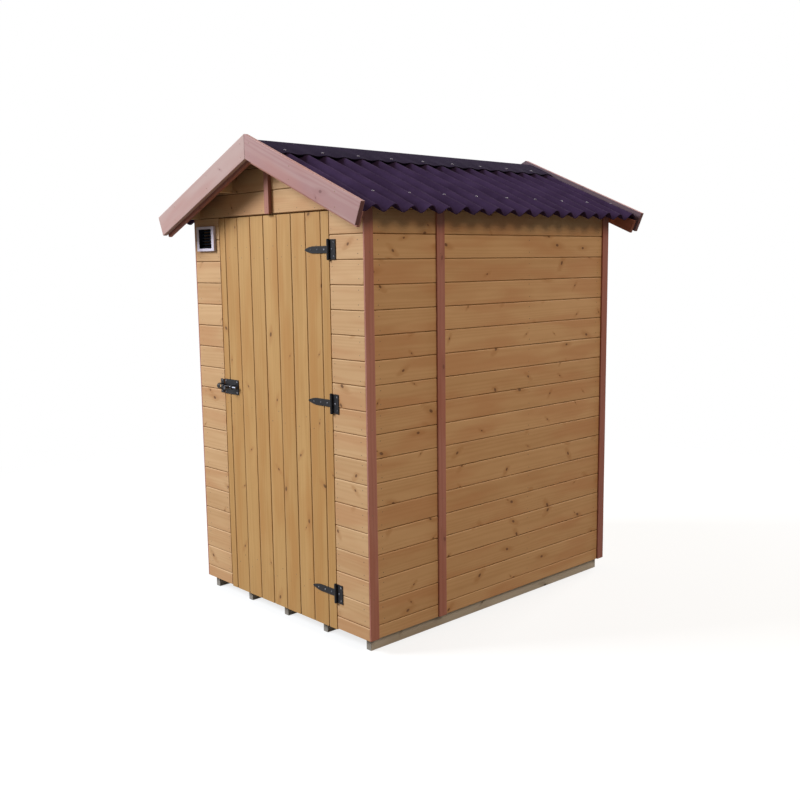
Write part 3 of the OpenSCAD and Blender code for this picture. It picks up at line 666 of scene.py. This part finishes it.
# Roof sheets: a wave down the slope that a tree draws, sagging a little between the nails at the eave
sheetShape = dict(pitch=95, height=31, thick=3, seat=0.3, shift=44, reach=87, head=37.5, sag=5, sagRun=240,
                  nailEvery=190, nailAt=67.75, columns=436, rows=36, lump=1.5, lumpScale=9.0, smoothAngle=40)
waveSums = (  # each sum by the name of its result
    ("past", "SUBTRACT", "y", "Shift"), ("waves", "DIVIDE", "past", "Pitch"), ("turn", "MULTIPLY", "waves", math.tau),
    ("wave", "SINE", "turn"), ("nailPast", "SUBTRACT", "y", "Nail Shift"),
    ("nails", "DIVIDE", "nailPast", "Nail Pitch"), ("nailTurn", "MULTIPLY", "nails", math.tau),
    ("nailed", "COSINE", "nailTurn"), ("halfRun", "MULTIPLY", "Run", 0.5),
    ("sagStart", "SUBTRACT", "halfRun", "Sag Run"), ("edge", "SMOOTHSTEP", "x", "sagStart", "halfRun"),
    ("between", "MULTIPLY_ADD", "nailed", 0.5, -0.5), ("drop", "MULTIPLY", "between", "edge"),
    ("sag", "MULTIPLY", "drop", "Sag"), ("bump", "SUBTRACT", "noise", 0.5),
    ("lump", "MULTIPLY_ADD", "bump", "Lump", "sag"), ("height", "MULTIPLY_ADD", "wave", "Swing", "lump"))


def sheetTree(name, sizes, sums, lumpScale=None):  # a flat sheet, lifted to the height that the sums give
    tree, given = newTree(name, {
        "Run": "Float", "Depth": "Float", "Columns": "Int", "Rows": "Int", **dict.fromkeys(sizes, "Float"),
        "Finish": "Material"})
    flat = put(tree, "MeshGrid", (given["Run"], given["Depth"], given["Rows"], given["Columns"]))[0]
    spot = put(tree, "InputPosition")[0]
    known = {socket.name: socket for socket in given}
    known["x"], known["y"], _ = put(tree, "SeparateXYZ", (spot,))
    if lumpScale:
        known["noise"] = put(tree, "TexNoise", {"Vector": spot, "Scale": lumpScale, "Detail": 1.0})[0]
    for result, kind, *values in sums:
        fed = [known.get(value, value) for value in values]
        if kind == "SMOOTHSTEP":
            known[result] = put(tree, "MapRange", fed, **smooth)[0]
        else:
            known[result] = put(tree, "Math", fed, operation=kind)[0]
    lift = put(tree, "CombineXYZ", (0, 0, known["height"]))[0]
    bent = put(tree, "SetPosition", {"Geometry": flat, "Offset": lift})[0]
    return endTree(tree, bent, given["Finish"])


def thicken(mesh, thick):  # a sheet of even thickness on both sides of its middle
    obj = placed("thick", mesh)
    wall = obj.modifiers.new("wall", "SOLIDIFY")
    wall.thickness, wall.offset = thick, 0
    return evaluated(obj, False)


waveSizes = {"Pitch": "pitch", "Shift": "shift", "Sag": "sag", "Sag Run": "sagRun", "Nail Pitch": "nailEvery",
             "Nail Shift": "nailAt", "Lump": "lump"}
waveTree = sheetTree("waveSheet", ("Swing", *waveSizes), waveSums, sheetShape["lumpScale"])
roofLow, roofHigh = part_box("roof_sheet_right")
sheetHead = sheetShape["head"] * mm
sheetFoot = (outerX + sheetShape["reach"] * mm) / math.cos(roofPitch)
sheetMiddle = Vector(((sheetHead + sheetFoot) / 2, 0, (sheetShape["seat"] + sheetShape["height"] / 2) * mm))
for name, node, side in (("roofSheetLeft", "roof_sheet_left", -1), ("roofSheetRight", "roof_sheet_right", 1)):
    mesh = grow(waveTree, {
        "Run": sheetFoot - sheetHead, "Depth": roofHigh.y - roofLow.y, "Columns": sheetShape["columns"],
        "Rows": sheetShape["rows"], "Swing": (sheetShape["height"] - sheetShape["thick"]) / 2 * mm,
        "Finish": sheetBitumen, **{label: sheetShape[size] * mm for label, size in waveSizes.items()}})
    mesh = thicken(mesh, sheetShape["thick"] * mm)
    slope = Matrix.Translation((0, 0, ridgeLine)) @ Matrix.Rotation(roofPitch, 4, "Y") @ Matrix.Translation(sheetMiddle)
    mesh.transform(Matrix.Diagonal((side, 1, 1, 1)) @ slope)
    if side < 0:
        mesh.flip_normals()
    shade(mesh, sheetShape["smoothAngle"])
    piece(name, mesh, "house", "roof_sheet", node)
print("outhouse: roof sheets drawn")


# Ridge cap: a round crown with two wings, drawn by a tree; the wings sink a little between the waves
capShape = dict(radius=120, under=31.6, thick=3, halfWidth=169.3, sag=5, sagPower=4.0, rows=60, columns=230)
crownSums = (
    ("out", "ABSOLUTE", "x"), ("sine", "SINE", "Pitch"), ("tangent", "TANGENT", "Pitch"),
    ("crownEnd", "MULTIPLY", "sine", "Radius"), ("crown", "MINIMUM", "out", "crownEnd"),
    ("radiusSquare", "MULTIPLY", "Radius", "Radius"), ("crownSquare", "MULTIPLY", "crown", "crown"),
    ("archSquare", "SUBTRACT", "radiusSquare", "crownSquare"), ("arch", "SQRT", "archSquare"),
    ("wingRun", "SUBTRACT", "out", "crown"), ("wing", "MULTIPLY", "wingRun", "tangent"),
    ("past", "SUBTRACT", "y", "Crest"), ("waves", "DIVIDE", "past", "Wave"), ("turn", "MULTIPLY", "waves", math.tau),
    ("swing", "COSINE", "turn"), ("between", "MULTIPLY_ADD", "swing", 0.5, -0.5), ("whole", "MULTIPLY", "out", 2.0),
    ("share", "DIVIDE", "whole", "Run"), ("loose", "POWER", "share", capShape["sagPower"]),
    ("drop", "MULTIPLY", "between", "loose"), ("sink", "MULTIPLY", "drop", "Sag"), ("roof", "SUBTRACT", "arch", "wing"),
    ("height", "ADD", "roof", "sink"))
crownTree = sheetTree("ridgeCrown", ("Radius", "Pitch", "Wave", "Crest", "Sag"), crownSums)
capLow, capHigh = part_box("ridge_cap")
mesh = grow(crownTree, {
    "Run": 2 * capShape["halfWidth"] * mm, "Depth": capHigh.y - capLow.y, "Rows": capShape["rows"],
    "Columns": capShape["columns"], "Radius": (capShape["radius"] + capShape["thick"] / 2) * mm, "Pitch": roofPitch,
    "Wave": sheetShape["pitch"] * mm, "Crest": sheetShape["nailAt"] * mm, "Sag": capShape["sag"] * mm,
    "Finish": capBitumen})
mesh = thicken(mesh, capShape["thick"] * mm)
crownCentre = ridgeLine - (capShape["radius"] - capShape["under"]) * mm / math.cos(roofPitch)
mesh.transform(Matrix.Translation((0, 0, crownCentre)))
shade(mesh, sheetShape["smoothAngle"])
piece("ridgeCap", mesh, "house", "ridge_cap", "ridge_cap")
print("outhouse: ridge cap drawn")


# Nails and screws: low heads that one tree sets on points and turns to face outwards
headShapes = dict(
    nail=dict(radius=2.2, height=0.6, sides=8, dip=0.15, arms=0),
    roofNail=dict(radius=6, height=3.6, sides=12, dip=0.3, arms=0),
    screw=dict(radius=3.8, height=1.9, sides=16, dip=1.3, arms=4))
headRule = dict(sunk=0.4, dome=((1.0, 0.3), (0.84, 0.75), (0.56, 1)), arm=0.52, notch=0.15, spread=0.15, smoothAngle=50)


def headTemplate(name, shape):  # a domed head, with a cross cut into it where it has arms
    bm = bmesh.new()
    r, h, sides = shape["radius"], shape["height"], shape["sides"]
    rows = [(1.0, -headRule["sunk"])] + [(share, up * h) for share, up in headRule["dome"]]
    if shape["arms"]:
        rows += [(None, h), (None, h - shape["dip"])]
    loops = []
    for share, z in rows:
        loops.append([])
        for k in range(sides):
            reach = r * (share or headRule["notch" if k % (sides // shape["arms"]) else "arm"])
            turn = math.tau * k / sides
            loops[-1].append(bm.verts.new((reach * math.cos(turn) * mm, reach * math.sin(turn) * mm, z * mm)))
    for lower, upper in zip(loops, loops[1:]):
        for k in range(sides):
            bm.faces.new((lower[k], lower[(k + 1) % sides], upper[(k + 1) % sides], upper[k]))
    middle = bm.verts.new((0, 0, (h - shape["dip"]) * mm))
    for k in range(sides):
        bm.faces.new((loops[-1][k], loops[-1][(k + 1) % sides], middle))
    bm.faces.new(loops[0][::-1])
    bmesh.ops.recalc_face_normals(bm, faces=bm.faces)
    return placed(name, meshed(bm, name))


def headTree():
    tree, given = newTree("fastenerHeads", {
        "Head": "Object", "Spread": "Float", "Seed": "Int", "Finish": "Material"})
    head = put(tree, "GeometryNodeObjectInfo", {"Object": given["Head"]})["Geometry"]
    facing = put(tree, "InputNamedAttribute", {"Name": "facing"}, data_type="FLOAT_VECTOR")[0]
    aim = put(tree, "AlignRotationToVector", {"Vector": facing}, axis="Z")[0]
    least = put(tree, "Math", (1.0, given["Spread"]), operation="SUBTRACT")[0]
    size = put(tree, "RandomValue", {2: least, 3: 1.0, "Seed": given["Seed"]}, data_type="FLOAT")[1]
    driven = put(tree, "InstanceOnPoints", {
        "Points": given["Geometry"], "Instance": head, "Rotation": aim, "Scale": size})[0]
    spin = put(tree, "RandomValue", {0: (0, 0, 0), 1: (0, 0, 6.28), "Seed": given["Seed"]}, data_type="FLOAT_VECTOR")[0]
    spun = put(tree, "RotateInstances", {"Instances": driven, "Rotation": spin, "Local Space": True})[0]
    return endTree(tree, spun, given["Finish"])


fastenerTree = headTree()
heads = {name: headTemplate(name, shape) for name, shape in headShapes.items()}


def fasteners(name, spots, head, material, seed, body, slot):  # spots are pairs of a place and the way it faces
    base = bpy.data.meshes.new(name)
    base.from_pydata([place for place, _ in spots], [], [])
    facing = base.attributes.new("facing", "FLOAT_VECTOR", "POINT")
    facing.data.foreach_set("vector", [value for _, out in spots for value in out])
    mesh = grow(fastenerTree, {
        "Head": heads[head], "Spread": headRule["spread"], "Seed": seed, "Finish": material}, base)
    shade(mesh, headRule["smoothAngle"])
    piece(name, mesh, body, slot)


nailRule = dict(  # in mm, apart from counts and shares
    seed=300, apart=26, doorApart=22, stray=4, wallRows=17, sideStuds=(-692.5, 192.5, 692.5), trimNails=5,
    bargeAt=(30, 289, 556), bargeUp=(22, -26), railEvery=120, railUp=14, battenShares=(0.12, 0.45, 0.78), floorRows=16,
    floorRim=10, doorRim=12, roofNailAt=553, roofNailSunk=0.4, capNailAt=142, capNailSunk=0.2)
screwRule = dict(plateThick=3, plate=((411, 27), (411, -27), (400, 0)), strap=((352, 0), (311, 0), (268, 0)),
                 keeper=((-398, -23.5), (-398, 23.5)),
                 latch=((-367.5, -24), (-367.5, 24), (-280.5, -24), (-280.5, 24)))
draw = random.Random(nailRule["seed"])
apart, doorApart = nailRule["apart"] * mm, nailRule["doorApart"] * mm


def stray():
    return draw.uniform(-1, 1) * nailRule["stray"] * mm


def onSlope(side, x, lift, y):  # a point over the roof's slope and the way that the slope faces
    c, s = math.cos(roofPitch), math.sin(roofPitch)
    down = (x - lift * s) / c
    return Vector((side * x, y, ridgeLine - down * s + lift * c)), Vector((side * s, 0, c))


houseNails, doorNails, roofNails, houseScrews, doorScrews = [], [], [], [], []
rows = [wallTop - (k + 0.5) * boardPitch + up * apart for k in range(nailRule["wallRows"]) for up in (-1, 1)]
for node, y, out in (("front_posts", -outerY, -yAxis), ("back_posts", outerY, yAxis)):
    for post in solidBoxes(node):
        houseNails += [(Vector((middleOf(post).x + stray(), y, z + stray())), out) for z in rows]
bargeFaces = (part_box("bargeboard_front_right")[0].y, -yAxis), (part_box("bargeboard_rear_right")[1].y, yAxis)
for side in (-1, 1):
    for y in nailRule["sideStuds"]:
        houseNails += [(Vector((side * outerX, y * mm + stray(), z + stray())), side * xAxis) for z in rows]
    for trim in solidBoxes("right_trims"):
        for k in range(nailRule["trimNails"]):
            z = trim[0].z + (trim[1].z - trim[0].z) * (k + 0.5) / nailRule["trimNails"]
            houseNails.append((Vector((side * trim[1].x, middleOf(trim).y + stray(), z + stray())), side * xAxis))
    for x in nailRule["bargeAt"]:
        for lift in nailRule["bargeUp"]:
            for y, out in bargeFaces:
                place = onSlope(side, x * mm, lift * mm, y)[0]
                houseNails.append((place + Vector((stray(), 0, stray())), out))
railZ = wallTop + nailRule["railUp"] * mm
for y, out in ((-outerY, -yAxis), (outerY, yAxis)):
    for k in range(-4, 4):
        houseNails.append((Vector(((k + 0.5) * nailRule["railEvery"] * mm + stray(), y, railZ + stray())), out))
for node, end, out in (("gable_batten_front", 0, -yAxis), ("gable_batten_rear", 1, yAxis)):
    low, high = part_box(node)
    for share in nailRule["battenShares"]:
        houseNails.append((Vector((stray(), (low, high)[end].y, low.z + (high.z - low.z) * share)), out))
for bearer in solidBoxes("bearers"):
    for k in range(nailRule["floorRows"]):
        for up in (-1, 1):
            y = floorLow.y + (k + 0.5) * boardPitch + up * apart
            if y < floorHigh.y - nailRule["floorRim"] * mm:
                houseNails.append((Vector((middleOf(bearer).x + stray(), y, floorHigh.z)), zAxis))
for ledge in solidBoxes("door_ledges"):
    for k in range(-1, 8):
        middle = leafHigh.x - (doorBoards["firstBoard"] + (k + 0.5) * boardShape["width"]) * mm
        for up in (-1, 1):
            x = middle + up * doorApart
            if abs(x) < leafHigh.x - nailRule["doorRim"] * mm:
                z = middleOf(ledge).z + up * doorApart
                doorNails.append((Vector((x + stray(), leafLow.y, z + stray())), -yAxis))
sheetUp = (sheetShape["seat"] + sheetShape["height"] - nailRule["roofNailSunk"]) * mm
capUp = (capShape["under"] + capShape["thick"] - nailRule["capNailSunk"]) * mm
for side in (-1, 1):
    for k in range(-4, 5):
        y = (sheetShape["nailAt"] + k * sheetShape["nailEvery"]) * mm
        roofNails.append(onSlope(side, nailRule["roofNailAt"] * mm, sheetUp, y))
        roofNails.append(onSlope(side, nailRule["capNailAt"] * mm, capUp, y - sheetShape["pitch"] * mm))
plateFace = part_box("hinge_plates")[1].y - screwRule["plateThick"] * mm
for node, group, screws in (("hinge_plates", "plate", houseScrews), ("hinge_straps", "strap", doorScrews),
                            ("latch_plate", "keeper", houseScrews), ("latch_plate", "latch", doorScrews)):
    for box in solidBoxes(node):
        screws += [(Vector((x * mm, plateFace, middleOf(box).z + up * mm)), -yAxis) for x, up in screwRule[group]]
fasteners("houseNails", houseNails, "nail", nailSteel, 301, "house", "bolt_steel")
fasteners("doorNails", doorNails, "nail", nailSteel, 302, "door", "bolt_steel")
fasteners("roofNails", roofNails, "roofNail", paintedHighlightCapNailPlastic, 303, "house", "roof_sheet")
fasteners("houseScrews", houseScrews, "screw", screwSteel, 304, "house", "black_iron")
fasteners("doorScrews", doorScrews, "screw", screwSteel, 305, "door", "black_iron")
for head in heads.values():
    bpy.data.objects.remove(head)
print("outhouse: nails and screws set,", sum(map(len, (houseNails, doorNails, roofNails, houseScrews, doorScrews))))

# Stage: a pale floor, soft light from the front left and the photo's viewing angle
stage = dict(eye=(3.2879, -3.1183, 1.5190), yaw=46.99, tilt=-8.178, roll=-0.715, lens=43.30, sensor=36,
             floorSize=30, floorDrop=0.5, floorGlow=0.78, fade=(1.6, 4.0), sky="#FFE9CC", skyStrength=0.16,
             aim=(0, 0, 1))
camera = placed("camera", bpy.data.cameras.new("camera"))
camera.data.lens = stage["lens"]
camera.data.sensor_width = stage["sensor"]
camera.matrix_world = (
    Matrix.Translation(stage["eye"]) @ Matrix.Rotation(math.radians(stage["yaw"]), 4, "Z")
    @ Matrix.Rotation(math.radians(90 + stage["tilt"]), 4, "X") @ Matrix.Rotation(math.radians(stage["roll"]), 4, "Z"))
scene.camera = camera


def seenDirect(tree):  # 1 for what the eye, a mirror or a pane sees
    rays = put(tree, "LightPath")
    seen = put(tree, "Math", (rays["Is Camera Ray"], rays["Is Glossy Ray"]), operation="MAXIMUM")[0]
    return put(tree, "Math", (seen, rays["Is Transmission Ray"]), operation="MAXIMUM")[0]


# Matt painted floor: the eye gets near white with a soft shadow, and plain white further off
white = (1, 1, 1, 1)
paleFloor, tree = blankMaterial("paleFloor")
where = put(tree, "TexCoord")["Object"]
distance = put(tree, "VectorMath", (where,), operation="LENGTH")["Value"]
far = put(tree, "MapRange", (distance, *stage["fade"]), **smooth)[0]
glow = put(tree, "Emission", {"Color": white, "Strength": stage["floorGlow"]})[0]
matt = put(tree, "BsdfDiffuse", {"Color": (0.25, 0.265, 0.28, 1)})[0]
near = put(tree, "AddShader", (glow, matt))[0]
plain = put(tree, "Emission", {"Color": white, "Strength": 1.0})[0]
bright = put(tree, "MixShader", (far, near, plain))[0]
ground = put(tree, "BsdfDiffuse", {"Color": (0.13, 0.12, 0.105, 1)})[0]
both = put(tree, "MixShader", (seenDirect(tree), ground, bright))[0]
put(tree, "OutputMaterial", (both,))
bm = bmesh.new()
bmesh.ops.create_grid(bm, x_segments=1, y_segments=1, size=stage["floorSize"])
floor = placed("floor", meshed(bm, "floor"))
floor.data.materials.append(paleFloor)
floor.location.z = -stage["floorDrop"] * mm

world = bpy.data.worlds.new("studio")
scene.world = world
world.use_nodes = True
tree = world.node_tree
tree.nodes.clear()
sky = put(tree, "Background", {"Color": linear(stage["sky"]), "Strength": stage["skyStrength"]})[0]
backdrop = put(tree, "Background", {"Color": white, "Strength": 1.0})[0]
both = put(tree, "MixShader", (seenDirect(tree), sky, backdrop))[0]
put(tree, "OutputWorld", (both,))

lamps = dict(  # place, size, power and colour
    key=((-7.4, -8.9, 8.2), 5.0, 2240, "#FDFDFF"), fill=((9.2, 0.8, 7.9), 4.3, 505, "#FFE2C2"),
    back=((0.6, 11.5, 6.6), 5.5, 1100, "#FFFDF8"))
for name, (spot, size, power, colour) in lamps.items():
    lamp = bpy.data.lights.new(name, "AREA")
    lamp.size, lamp.energy, lamp.color = size, power, linear(colour)[:3]
    holder = placed(name, lamp)
    holder.location = spot
    holder.rotation_euler = (Vector(stage["aim"]) - Vector(spot)).to_track_quat("-Z", "Y").to_euler()
scene.view_settings.view_transform = "Standard"
print("outhouse: stage set")
